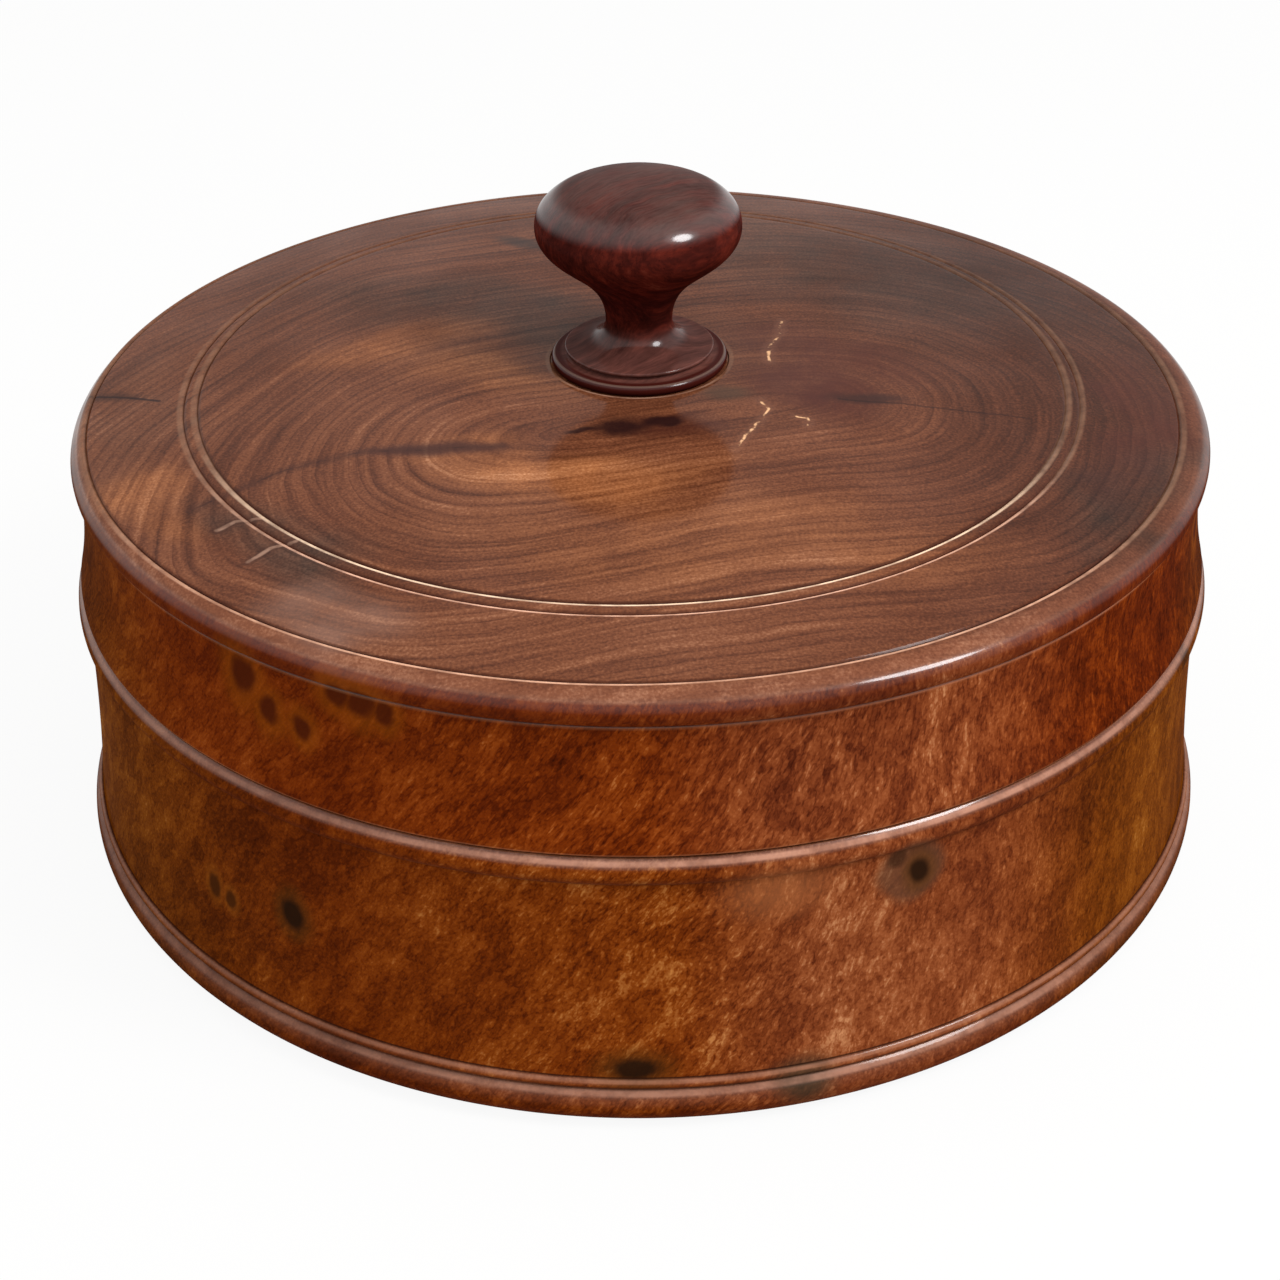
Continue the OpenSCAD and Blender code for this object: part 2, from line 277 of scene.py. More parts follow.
knobShape = dict(
    seatZ=83.9426, tenonEnd=76.49, tenon=5.0, cap=17.75, crown=8.55, power=0.89, belly=6.4, widest=25.05,
    neck=9.4, waist=5.8, waistZ=7.9, flare=13.1, flange=15.45, flangeThick=1.95, quirk=0.7, lip=0.35,
    blur=0.1, longest=1.2, turn=8.0, columns=160,
)


def knobOutline(k):
    seat = k["seatZ"]
    wide, waist = seat + k["widest"], seat + k["waistZ"]
    flangeC = k["flange"] - k["flangeThick"] / 2
    flangeTop = seat + k["flangeThick"]
    flareZ = flangeTop + k["quirk"]
    quarter = np.linspace(0, np.pi / 2, 40)
    return joined(
        (0, k["tenonEnd"]), (k["tenon"], k["tenonEnd"]), (k["tenon"], seat), (flangeC, seat),
        arc((flangeC, seat + k["flangeThick"] / 2), k["flangeThick"] / 2, -90, 90),
        (k["flare"], flangeTop), (k["flare"] - k["quirk"], flangeTop + k["quirk"] / 2),
        arc((k["flare"] - k["lip"], flareZ + k["lip"]), k["lip"], -90, 90, 12),
        np.stack([k["waist"] + (k["flare"] - k["lip"] - k["waist"]) * (1 - np.sin(quarter)),
                  waist - (waist - flareZ - 2 * k["lip"]) * np.cos(quarter)], 1),
        swept((k["waist"], waist), (k["waist"], waist + k["neck"]), (k["cap"], wide - k["belly"]), (k["cap"], wide)),
        np.stack([k["cap"] * np.cos(quarter) ** k["power"], wide + k["crown"] * np.sin(quarter) ** k["power"]], 1),
    )


knobLine = softened(knobOutline(knobShape), False, knobShape["blur"], knobShape["longest"], knobShape["turn"])
knobLine[[0, -1], 0] = 0
knob = turned("boxKnob", knobLine, evenAngles(knobShape["columns"]), False)

for piece, node, bodyName, slotName in (
    (body, "box_body", "box", "burl"), (lid, "lid", "lid", "burl_end_grain"), (knob, "knob", "lid", "rosewood"),
):
    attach(piece, bodyName)
    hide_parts(node)


# shading by sums

class Tone:  # wraps a shader socket, so that sums on it add their Math nodes
    def __init__(self, tree, socket=None):
        self.tree, self.socket = tree, socket

    def node(self, kind, settings=None, sockets=None, out=0):  # any node: its settings first, then values or links
        made = self.tree.nodes.new(kind)
        for key, value in (settings or {}).items():
            if key == "stops":
                ramp = made.color_ramp.elements
                while len(ramp) < len(value):
                    ramp.new(0.5)
                for stop, (at, colour) in zip(ramp, value):
                    stop.position, stop.color = at, colour
            else:
                setattr(made, key, value)
        for key, value in (sockets or {}).items():
            if isinstance(value, Tone):
                self.tree.links.new(value.socket, made.inputs[key])
            else:
                made.inputs[key].default_value = value
        return Tone(self.tree, made.outputs[out] if len(made.outputs) else None)

    def sum(self, how, a, b=0.0):
        return self.node("ShaderNodeMath", {"operation": how}, {0: a, 1: b})

    def __add__(self, b): return self.sum("ADD", self, b)
    def __radd__(self, b): return self.sum("ADD", b, self)
    def __sub__(self, b): return self.sum("SUBTRACT", self, b)
    def __rsub__(self, b): return self.sum("SUBTRACT", b, self)
    def __mul__(self, b): return self.sum("MULTIPLY", self, b)
    def __rmul__(self, b): return self.sum("MULTIPLY", b, self)
    def __truediv__(self, b): return self.sum("DIVIDE", self, b)
    def __rtruediv__(self, b): return self.sum("DIVIDE", b, self)
    def __pow__(self, b): return self.sum("POWER", self, b)
    def __abs__(self): return self.sum("ABSOLUTE", self)

    def part(self): return self.sum("FRACT", self)
    def low(self, b): return self.sum("MINIMUM", self, b)
    def high(self, b): return self.sum("MAXIMUM", self, b)

    def ease(self, a, b, to=1.0):  # 0 at a, to at b, an easy S between
        return self.node("ShaderNodeMapRange", {"interpolation_type": "SMOOTHSTEP"}, {0: self, 1: a, 2: b, 3: 0.0, 4: to})

    def noise(self, size, detail=2.0, rough=0.5, out="Fac"):
        return self.node("ShaderNodeTexNoise", {}, {"Vector": self, "Scale": 1 / size, "Detail": detail, "Roughness": rough}, out)

    def stir(self, size, rough=0.5):  # noise in all three directions, about zero
        return self.noise(size, 2.0, rough, "Color").vector("SUBTRACT", (0.5, 0.5, 0.5))

    def vector(self, how, other):
        return self.node("ShaderNodeVectorMath", {"operation": how}, {0: self, 1: other})

    def moved(self, by, amount):  # a point pushed along by so much of another
        return self.vector("ADD", by.vector("MULTIPLY", amount))

    def parts(self):
        split = self.node("ShaderNodeSeparateXYZ", {}, {0: self})
        outs = split.socket.node.outputs
        return [Tone(self.tree, outs[k]) for k in range(3)]

    def blend(self, a, b):  # this value picks between colours a and b
        return self.node("ShaderNodeMix", {"data_type": "RGBA"}, {0: self, 6: a, 7: b}, 2)

    def ramp(self, *stops):
        return self.node("ShaderNodeValToRGB", {"stops": stops}, {0: self})

    def spot(self, place, size, turn=0.0):  # 1 on the skin of an ellipsoid, 0 at its middle
        local = self.node("ShaderNodeMapping", {"vector_type": "TEXTURE"},
                          {"Vector": self, "Location": place, "Rotation": (0, 0, math.radians(turn)), "Scale": size})
        return local.node("ShaderNodeVectorMath", {"operation": "LENGTH"}, {0: local}, "Value")

    def line(self, points, height):  # distance to a run of straight stretches in plan
        nearest = None
        for (ax, ay), (bx, by) in zip(points, points[1:]):
            local = self.node("ShaderNodeMapping", {"vector_type": "TEXTURE"}, {
                "Vector": self, "Location": ((ax + bx) / 2, (ay + by) / 2, height),
                "Rotation": (0, 0, math.atan2(by - ay, bx - ax)), "Scale": (1, 1, 1)})
            along, across, _ = local.parts()
            past = (abs(along) - math.hypot(bx - ax, by - ay) / 2).high(0.0)
            away = (past * past + across * across) ** 0.5
            nearest = away if nearest is None else nearest.low(away)
        return nearest


def newMaterial(name):
    material = bpy.data.materials.new(name)
    material.use_nodes = True
    tree = material.node_tree
    tree.nodes.clear()
    shader = tree.nodes.new("ShaderNodeBsdfPrincipled")
    output = tree.nodes.new("ShaderNodeOutputMaterial")
    tree.links.new(shader.outputs[0], output.inputs["Surface"])
    return material, Tone(tree), shader


def feed(shader, **wanted):
    for key, value in wanted.items():
        socket = shader.inputs[key.replace("_", " ")]
        if isinstance(value, Tone):
            value.tree.links.new(value.socket, socket)
        else:
            socket.default_value = value


def inMillimetres(t):  # the piece's own coordinates
    p = t.node("ShaderNodeTexCoord", out="Object")
    return p.node("ShaderNodeVectorMath", {"operation": "SCALE"}, {0: p, "Scale": 1 / mm})


def traitOf(t, name):  # a value that the piece carries at its points
    return t.node("ShaderNodeAttribute", {"attribute_name": name}, out="Fac")


def setTrait(piece, name, values):
    piece.data.attributes.new(name, "FLOAT", "POINT").data.foreach_set("value", values.astype(np.float32))


def wallPoint(angle, z, radius=101.0):  # a place on the wall: degrees from the front towards the right, and height
    a = math.radians(angle)
    return (radius * math.sin(a), -radius * math.cos(a), z)


# burl, long grain on the walls and end grain on the faces, shared by body and lid

burl = dict(
    spine=(6.0, 28.0), spineRound=12.0,  # middle and half length of the bent spine in x, and how softly its ends turn
    strandSize=0.9, seasonSize=2.2, decadeSize=10.0, strand=0.42, season=0.56, decade=0.22, year=0.15,  # rings
    fleckSize=0.62, strokeSize=1.5, curlSize=5.0, cloudSize=26.0, patchSize=75.0, gritSize=0.45,  # fibres
    tick=0.18, pit=0.18, vein=0.16, stroke=0.5, crease=0.1, cloud=0.7, grit=0.3,  # how much each of them counts
    bumpStrength=0.08, bumpHeight=0.0004, coatRough=0.11, coatIndex=1.5,
    wall=shades((54, 15, 3), (88, 30, 5), (114, 45, 8), (138, 63, 17), (182, 112, 56)),
    rosy=shades((62, 23, 12), (98, 44, 23), (122, 61, 32), (147, 82, 48), (196, 136, 96)),
    olive=shades((46, 18, 3), (76, 36, 5), (100, 50, 8), (124, 68, 14), (172, 116, 48)),
    face=shades((34, 16, 10), (66, 34, 21), (91, 50, 32), (116, 68, 44), (162, 110, 80)),
    raw=shades((92, 52, 26), (140, 86, 46), (186, 128, 80)),
    warm=shades((58, 28, 15), (102, 56, 32), (134, 79, 46), (164, 104, 65), (212, 152, 110)),
    dim=shades((26, 16, 12), (48, 31, 24), (67, 45, 35), (88, 61, 48), (128, 96, 80)),
    # crown: painted sheen, paler upward tops of the beads and the rim; under: painted shade on their undersides
    crown=shades((76, 36, 24), (130, 78, 55), (192, 138, 108)), under=lin(72, 24, 10),
    # shade: painted shade in the quirks; wearAndHighlight: paler convex edges, wear and painted highlight
    shade=lin(36, 15, 9), wearAndHighlight=lin(186, 126, 88),
)


def burlWood(name, k, own):
    material, t, shader = newMaterial(name)
    p = inMillimetres(t)
    x, y, z = p.parts()
    q = p.vector("ADD", own["seed"])
    traits = ("endGrain", "inside", "edge", "quirk", "polish", "crown", "under")
    face, inside, edge, quirk, polish, crown, under = (traitOf(t, n) for n in traits)
    join = lambda *xyz: t.node("ShaderNodeCombineXYZ", {}, dict(enumerate(xyz)))

    # growth rings: distance from a bent spine through the pith and both checks, stirred by noise and broken along their length
    slow, quick = q.stir(46), q.stir(7, 0.55)
    bx, by, _ = p.moved(slow, (8, 8, 0)).moved(quick, (0.9, 0.9, 0)).parts()
    across = by + 33.0 - bx.ease(-45, 40, 16.5) + bx.ease(-48, -80, 12.0)
    past = abs(bx - k["spine"][0]) - k["spine"][1]
    along = (past + (past * past + k["spineRound"] ** 2) ** 0.5) * 0.5
    age = (along * along + across * across) ** 0.5
    strand = join(age, x * 0.05, y * 0.05).noise(k["strandSize"], 2.0, 0.6)
    season = join(age, x * 0.04, y * 0.04).noise(k["seasonSize"], 2.0, 0.6)
    decade = join(age, x * 0.03, y * 0.03).noise(k["decadeSize"], 2.0, 0.5)

    # fibres: long up the log and slanted, so they draw flecks on the walls and pores on the faces
    lean = x.ease(-15, 70, own["leanRight"] - own["leanLeft"]) + own["leanLeft"]
    sway = q.noise(22, 1.0) - 0.5
    spin = (z - own["leanZ"]) * lean * (-1 / 100) + sway * own["sway"]
    fibre = p.node("ShaderNodeVectorRotate", {"rotation_type": "Z_AXIS"}, {"Vector": p, "Angle": spin}).vector("ADD", own["seed"])
    drawn, plump = (fibre.vector("MULTIPLY", (1, 1, stretch)) for stretch in (own["stretch"], 0.7))
    fleck = drawn.noise(k["fleckSize"], 1.0, 0.5)
    stroke = drawn.noise(k["strokeSize"], 2.0, 0.6)
    curl = plump.noise(k["curlSize"], 3.0, 0.6)
    cloud = plump.noise(k["cloudSize"], 3.0, 0.55)
    patch = q.noise(k["patchSize"], 2.0, 0.5)
    grit = q.noise(k["gritSize"], 1.0, 0.5)

    lively = own["lively"](x, patch)
    fine = fleck.ease(0.58, 0.68, k["tick"]) - fleck.ease(0.43, 0.33, k["pit"]) \
        - abs(stroke - 0.48).ease(0.05, 0.0, k["vein"]) + (stroke - 0.5) * k["stroke"]
    broad = (curl - 0.5) * (lively * 0.3 + 0.45) - abs(curl - 0.46).ease(0.04, 0.0, k["crease"]) + (cloud - 0.5) * k["cloud"]
    tone = 0.5 + fine * lively + broad + (grit - 0.5) * k["grit"] + own["light"](x, z)
    wall = own["tint"](x, {look: tone.ramp(*k[look]) for look in ("wall", "rosy", "olive")})

    ringTone = 0.5 + (strand - 0.5) * (x.ease(-10, 60, -0.1) + y.ease(-30, 40, -0.12) + k["strand"]) \
        + (season - 0.5) * (x.ease(-10, 60, -0.2) + y.ease(-20, 40, -0.12) + k["season"]) + (decade - 0.5) * k["decade"] \
        + (cloud - 0.5) * 0.3 + (grit - 0.5) * 0.5 + own["fade"](x, y) \
        - (age * 0.42 + season * 0.8 + decade * 2.0).part() ** 5 * cloud.ease(0.25, 0.55, k["year"])
    grain = {look: ringTone.ramp(*k[look]) for look in ("face", "warm", "dim", "raw")}
    colour = face.blend(wall, grain["face"])
    # painted shade: the downward faces of the beads and the rim's side darker
    colour = (under * 0.75).blend(colour, k["under"])
    # painted sheen: the upward tops of the beads and the rim band paler
    colour = (crown * 0.7).blend(colour, (tone * 0.6 + ringTone * 0.4).ramp(*k["crown"]))
    colour = own["marks"](t, p, quick, colour, face, grain)
    colour = (quirk * 0.75).blend(colour, k["shade"])
    # convex edges paler: wear and painted highlight
    colour = (edge * (0.15 + (cloud - 0.3) * 0.5)).blend(colour, k["wearAndHighlight"])
    colour = own["lines"](p, colour, face * (1 - inside))
    colour = inside.blend(colour, grain["raw"])

    rough = 0.42 + (cloud - 0.5) * 0.16 + (grit - 0.5) * 0.1 + inside * 0.2 + quirk * 0.2
    relief = (fleck - 0.5) * 0.5 + (strand - 0.5) * 0.4 * face
    bump = relief.node("ShaderNodeBump", {}, {"Height": relief, "Strength": k["bumpStrength"], "Distance": k["bumpHeight"]})
    coat = polish * (1 - quirk * 0.9) * (0.85 + (cloud - 0.5) * 0.8)
    feed(shader, Base_Color=colour, Roughness=rough, Normal=bump, Coat_Weight=coat)
    feed(shader, Coat_Roughness=k["coatRough"], Coat_IOR=k["coatIndex"], Specular_IOR_Level=0.0)
    print("material", name, len(material.node_tree.nodes), "nodes")
    return material


def knots(p, places, radius):  # the least normal distance to any knot: 1 on its rim
    nearest = None
    for angle, z, across, up in places:
        away = p.spot(wallPoint(angle, z, radius), (across, 30, up), angle)
        nearest = away if nearest is None else nearest.low(away)
    return nearest


# marks on the lid: broad stains and a painted sheen at its points, and spots, checks, scratches and knots in its
# shader, some scratches with painted shade and highlight

lidStains = dict(  # x, y, half lengths, turn, amount
    dim=((-88, -10, 10, 34, 0, 0.2), (-34, 26, 36, 14, -22, 0.55), (-14, 12, 14, 10, 0, 0.65),
         (40, 45, 50, 30, -30, 0.55), (-57, -57, 19, 8, -48, 0.75), (81, -42, 8.5, 30, -29, 0.75)),
    warm=((-42, 9, 17, 8, 16, 0.6), (10, -60, 46, 14, 0, 0.35), (-27, -5, 15, 9, -28, 0.6),
          (-8, -42, 25, 8, 3, 0.8), (-24, -36, 14, 6, -14, 0.55), (-78, -43, 7, 15, 25, 0.6)),
    ruddy=((85, -18, 8, 34, -12, 0.45), (34, 2, 22, 10, -14, 0.5), (28, -13, 13, 13, 20, 0.7)),
    # a painted sheen: a pale grey-lilac patch on the outer band at the front left
    bloom=((-45, -76, 16, 5.5, -34, 0.3),),
)


def addStains(piece, stains):  # the largest of some soft-edged ovals, in plan, their places swayed by sines
    points = np.empty(len(piece.data.vertices) * 3)
    piece.data.vertices.foreach_get("co", points)
    px, py, _ = points.reshape(-1, 3).T / mm
    x = px + 3 * np.sin(py / 7 + 1) + 1.5 * np.sin(py / 3.1 + px / 5)
    y = py + 2.5 * np.sin(px / 8 + 2) + 1.2 * np.sin(px / 3.7 - py / 6)
    for name, places in stains.items():
        value = np.zeros_like(x)
        for cx, cy, a, b, turn, amount in places:
            c, d = math.cos(math.radians(turn)), math.sin(math.radians(turn))
            u, v = (x - cx) * c + (y - cy) * d, (y - cy) * c - (x - cx) * d
            value = np.maximum(value, amount * smooth(1.25, 0.35, np.hypot(u / a, v / b)))
        setTrait(piece, name, value)


addStains(lid, lidStains)

lidSpots = dict(
    height=82.0, ruddy=lin(72, 32, 24), bloom=lin(150, 118, 104),
    spots=(  # x, y, half lengths, turn, colour, amount
        (15, -14, 5, 3.4, 0, lin(74, 52, 38), 0.7), (-33, -32, 14, 2.8, -1, lin(62, 34, 30), 0.8),
        (-93, -2.5, 7, 2.2, -22, lin(50, 28, 22), 0.6), (39, -15.5, 8, 2.2, 0, lin(48, 26, 22), 0.75),
        (-23, 57, 8, 3, -38, lin(46, 34, 30), 0.75), (4, -26, 12, 4.4, 8, lin(60, 27, 20), 0.7),
    ),
    pith=((-3.5, -26, 5.6, 2.7), (4.2, -24.4, 3.4, 1.5), (-10, -27.6, 2.8, 1.2)), pithTurn=9, pithColour=lin(30, 14, 15),
    scratches=(  # points, half width, colour, steady and broken amount, half width of the painted shade around it; the pale lines are lit ridges, a painted highlight
        (((-23, -32), (-46, -32), (-58, -36), (-72, -46)), 0.4, lin(50, 26, 21), 0.1, 0.5, 1.9),
        (((34, -16), (66, -19.8)), 0.4, lin(40, 19, 15), 0.6, 0, 0),
        (((-60.2, -50), (-64.4, -50.5), (-66.8, -52.6)), 0.6, lin(158, 122, 102), 0.4, 0.4, 1.6),
        (((-54, -57.4), (-57.7, -59), (-60.6, -61.6)), 0.6, lin(158, 122, 102), 0.4, 0.4, 1.6),
        (((-84, -6.5), (-100, 0.5)), 0.55, lin(40, 19, 15), 0.9, 0, 0),
    ),
    # paintedShadeAround: painted shade beside the checks and cracks
    paintedShadeAround=lin(52, 27, 22), glint=lin(228, 176, 130), glow=lin(140, 96, 76), glintWidth=0.2,
    glints=(
        ((26.2, 15), (24.3, 8), (23.3, 5), (22.5, -2)), ((20.4, -16.8), (21.9, -20.4), (19.7, -25.4), (15.5, -33.6)),
        ((26.4, -22.8), (27.9, -23.1), (28, -25.6)),
    ),
    eyes=(  # degrees from the front, height, half width, half height
        (-37.9, 69.2, 2.7, 3.6), (-34.7, 64.6, 1.9, 2.6), (-31.3, 64.0, 1.8, 2.2), (-27.1, 72.0, 2.4, 2.4),
        (-24.7, 71.4, 2.6, 2.8), (-22.6, 70.4, 1.7, 2.2), (72, 66, 2.2, 2.8), (131, 68, 2.8, 3.2),
        (138, 63, 1.9, 2.4), (-112, 64, 2.4, 3.0), (-150, 69, 2.0, 2.6),
    ),
    eyeRadius=99.0, eye=lin(64, 20, 7), eyeRing=lin(138, 70, 10),
)


def lidMarks(t, p, quick, colour, face, grain):
    k = lidSpots
    w = p.moved(quick, (2.6, 2.6, 2.6))
    uneven = quick.parts()[0] * 1.8 + 1.0
    for name, tint in (("dim", grain["dim"]), ("warm", grain["warm"]), ("ruddy", k["ruddy"]), ("bloom", k["bloom"])):
        colour = (traitOf(t, name) * uneven * face).blend(colour, tint)
    for px, py, a, b, turn, tint, amount in k["spots"]:
        away = w.spot((px, py, k["height"]), (a, b, 30), turn)
        colour = (away.ease(1.25, 0.35, amount) * face).blend(colour, tint)
    ragged = p.moved(quick, (7, 5, 0))
    for px, py, a, b in k["pith"]:
        away = ragged.spot((px, py, k["height"]), (a, b, 30), k["pithTurn"])
        colour = (away.ease(1.4, 0.45, 0.85) * face).blend(colour, k["pithColour"])

    wavy = p.moved(quick, (1.8, 1.8, 0))
    broken = p.noise(3.0, 2.0, 0.6).ease(0.42, 0.6)
    for points, width, tint, steady, gaps, halo in k["scratches"]:  # a fine line, some in a wider band of painted shade
        away = wavy.line(points, k["height"])
        if halo:
            colour = (away.ease(halo, width) * face * 0.4).blend(colour, k["paintedShadeAround"])
        amount = broken * gaps + steady if gaps else steady
        colour = (away.ease(width, width * 0.3) * face * amount).blend(colour, tint)
    sparse, width = p.noise(1.7, 2.0, 0.6).ease(0.42, 0.6), k["glintWidth"]
    for points in k["glints"]:
        away = w.line(points, k["height"])
        colour = (away.ease(1.7, 0.4) * face * 0.15).blend(colour, k["glow"])
        colour = (away.ease(width * 1.8, width * 0.5) * sparse * face).blend(colour, k["glint"])

    eyes = knots(w, k["eyes"], k["eyeRadius"])
    side = 1 - face
    colour = (eyes.ease(2.6, 1.0, 0.4) * side).blend(colour, k["eyeRing"])
    return (eyes.ease(1.3, 0.55, 0.85) * side).blend(colour, k["eye"])


lidTurnings = dict(
    ovals=dict(true=(0.0, 1.0), ring=(1.5, 1.0339), outer=(1.3, 0.9842)),  # shift to the left, and squared shrinking across
    cuts=(  # painted shade in the cuts: oval, radius, half width, colour, amount at the front and everywhere
        ("ring", 77.1, 0.5, lin(54, 24, 15), 0.4, 0.35), ("ring", 79.6, 0.42, lin(62, 29, 19), 0.3, 0.3),
        ("outer", 94.65, 0.4, lin(48, 21, 13), 0.3, 0.4),
    ),
    crests=(  # painted highlights on the crests: oval, radius, half width, colour, amount
        ("ring", 77.72, 0.34, lin(250, 216, 184), 1.0), ("ring", 80.2, 0.3, lin(232, 180, 152), 0.95),
        ("outer", 95.2, 0.32, lin(220, 168, 138), 0.95), ("true", 16.05, 0.3, lin(170, 130, 108), 0.8),
    ),
    # the crests' painted highlight colour away from the front, and a painted highlight line at the foot of the rim
    highlightBehind=lin(142, 104, 80), highlightUnderRim=72.72, highlightUnderRimHalf=0.24, highlightUnderRimColour=lin(186, 112, 78),
)


def lidLines(p, colour, top):  # painted highlights on the crests and painted shade in the cuts of the turned lines, strongest towards the front
    k = lidTurnings
    x, y, z = p.parts()
    away = {oval: ((x + d) * (x + d) * shrink + y * y) ** 0.5 for oval, (d, shrink) in k["ovals"].items()}
    facing = y / away["true"]
    front = facing.ease(-0.3, -0.85) * x.ease(96, 62)
    wearAndHighlight = p.noise(5, 3.0, 0.6).ease(0.3, 0.65, 0.6) + 0.4
    shown = facing.ease(0.9, -0.3, 0.55) + 0.45

    def line(colour, off, half, tint, amount):
        return (abs(off).ease(half, half * 0.35) * amount).blend(colour, tint)

    for oval, radius, half, tint, ahead, always in k["cuts"]:
        colour = line(colour, away[oval] - radius, half, tint, top * (front * ahead + always))
    for oval, radius, half, tint, amount in k["crests"]:
        off = (away[oval] - radius) / (2.6 - front * 1.6)  # wider and fainter away from the front
        colour = line(colour, off, half, front.blend(k["highlightBehind"], tint), top * (front * 0.45 + 0.5) * wearAndHighlight * shown * amount)
    # a painted highlight line along the foot of the rim, towards the front right
    return line(colour, z - k["highlightUnderRim"], k["highlightUnderRimHalf"], k["highlightUnderRimColour"], (1 - top) * front * x.ease(0, 40, 0.6) * wearAndHighlight)


# marks on the body

bodySpots = dict(
    radius=101.2,  # knots: degrees from the front, height, half width, half height
    brown=((-43.8, 25.1, 1.5, 2.4), (-41.5, 24.2, 1.2, 1.8), (112, 30, 2.4, 3.0), (118, 25, 1.5, 2.0), (-95, 34, 2.0, 2.6)),
    black=((-33.5, 27.9, 2.4, 3.0), (24.7, 41.0, 1.9, 2.4), (-1.0, 11.2, 3.9, 2.3), (165, 22, 2.2, 2.8), (-132, 18, 2.4, 3.0)),
    faint=((22.4, 44.4, 1.9, 1.9), (64, 48.5, 2.4, 3.2)),
    # crests: painted highlights along the beads: height, half width, colour, amount
    crests=((50.15, 0.5, lin(206, 150, 124), 1.1), (9.0, 0.4, lin(172, 116, 88), 1.0), (6.9, 0.6, lin(186, 134, 110), 1.1)),
)


def bodyMarks(t, p, quick, colour, face, grain):
    k = bodySpots
    w = p.moved(quick, (2.0, 2.0, 2.0))
    brown, black, faint = (knots(w, k[kind], k["radius"]) for kind in ("brown", "black", "faint"))
    grey = w.spot(wallPoint(23.9, 41.6), (6.6, 30, 6.6), 23.9)
    green = w.spot(wallPoint(13.9, 7.0, 103), (5.2, 30, 4.6), 13.9)
    peach = w.spot(wallPoint(11.5, 43.0), (9.0, 30, 5.5), 11.5)
    for away, outer, inner, amount, tint in (  # outer and inner edge of each soft rim
        (grey, 1.1, 0.7, 0.7, lin(84, 56, 40)),
        (brown, 2.2, 1.0, 0.3, lin(140, 78, 20)), (brown, 1.28, 0.62, 0.85, lin(58, 28, 8)),
        (black, 2.3, 1.0, 0.5, lin(84, 50, 16)), (black, 1.32, 0.58, 0.95, lin(36, 20, 10)),
        (faint, 1.3, 0.5, 0.7, lin(46, 26, 14)), (green, 1.4, 0.3, 0.8, lin(52, 46, 34)), (peach, 1.4, 0.2, 0.4, lin(170, 104, 62)),
    ):
        colour = away.ease(outer, inner, amount).blend(colour, tint)
    return colour


def bodyLines(p, colour, top):  # pale crests of the beads, painted highlights in patches, less at the sides and the back
    x, y, z = p.parts()
    sides = x.ease(-85, 25, 0.75) - x.ease(45, 95, 0.6) + 0.4
    outside = (x * x + y * y).ease(9900, 10040)
    wearAndHighlight = (p.noise(4, 3.0, 0.6).ease(0.3, 0.65, 0.6) + 0.4) * y.ease(70, -40, 0.5) * sides * outside
    for height, half, tint, amount in bodySpots["crests"]:
        colour = (abs(z - height).ease(half, half * 0.3, amount) * wearAndHighlight).blend(colour, tint)
    return colour


# traits along each outline: r, z, the upward part of the normal, and the turning

def lidTraits(r, z, up, bend):
    k = lidShape
    within = (r < k["rebate"] + 0.5) & (z < domeHeight(k, np.minimum(r, 96)) - 3)
    hidden = within | ((z < k["shoulder"] + 0.2) & (r < 99.8))
    shine = np.where(r < k["line"], 0.28, 0.95 - 0.7 * smooth(0.78, 0.92, up))
    return dict(
        endGrain=np.where(r > 97, smooth(0.7, 0.82, up), smooth(0.2, 0.85, np.abs(up))),
        inside=hidden.astype(float),
        edge=smooth(0.35, 1.6, bend) * (r > 96),
        quirk=smooth(0.5, 2.4, -bend),
        polish=np.where(hidden, 0.0, 0.015 + smooth(0.25, 0.7, up) * shine),
        # crown: where sheen is painted on the rim band; under: where shade is painted on the rim's side
        crown=0.85 * (z > 72.8) * smooth(94.9, 97.0, r) * smooth(0.74, 0.84, up),
        under=(z > 72.75) * (r > 97) * 0.55 * smooth(0.8, 0.7, up),
    )


def bodyTraits(r, z, up, bend):
    k = bodyShape
    within = (r < k["jointBeadCentre"] + 0.1) & (z > 9.5)
    hidden = within | ((z < k["recessTop"] + 0.1) & (r < k["plinthCentre"]))
    foot, joint = z < 9.3, z > 45.8
    beads = (foot | joint) & ~hidden
    return dict(
        endGrain=smooth(0.25, 0.9, np.abs(up)),
        inside=hidden.astype(float),
        edge=smooth(0.6, 2.0, bend),
        quirk=smooth(0.5, 2.4, -bend) * np.where((z > 44) & (z < 49.5), 0.35, 1),
        polish=np.where(hidden, 0.0, 0.015 + np.where(joint, 0.95, 0.45) * beads * smooth(0.4, 0.7, up)),
        # crown: where sheen is painted on the bead tops; under: where shade is painted under the beads
        crown=beads * np.where(foot, 0.6 * smooth(-0.1, 0.35, up), smooth(0.5, 0.7, up)),
        under=beads * smooth(0.0, -0.5, up) * 0.5,
    )


def knobTraits(r, z, up, bend):
    shine = np.where(z < 95, 0.55, 0.9) * smooth(0.35, 0.62, up) * (1 - 0.87 * smooth(0.78, 0.92, up))
    return dict(polish=0.02 + shine, dust=smooth(0.4, 0.85, up) * (z > 100))


def addTraits(piece, outline, ring, columns, traits):
    normal, bend = outlineFrame(outline, ring)
    for name, line in traits(*outline.T, normal[:, 1], bend).items():
        each = np.repeat(line if ring else line[1:-1], columns)
        setTrait(piece, name, each if ring else np.concatenate([each, [line[0], line[-1]]]))


addTraits(body, bodyLine, False, bodyShape["columns"], bodyTraits)
addTraits(lid, lidLine, True, lidShape["columns"], lidTraits)
addTraits(knob, knobLine, False, knobShape["columns"], knobTraits)


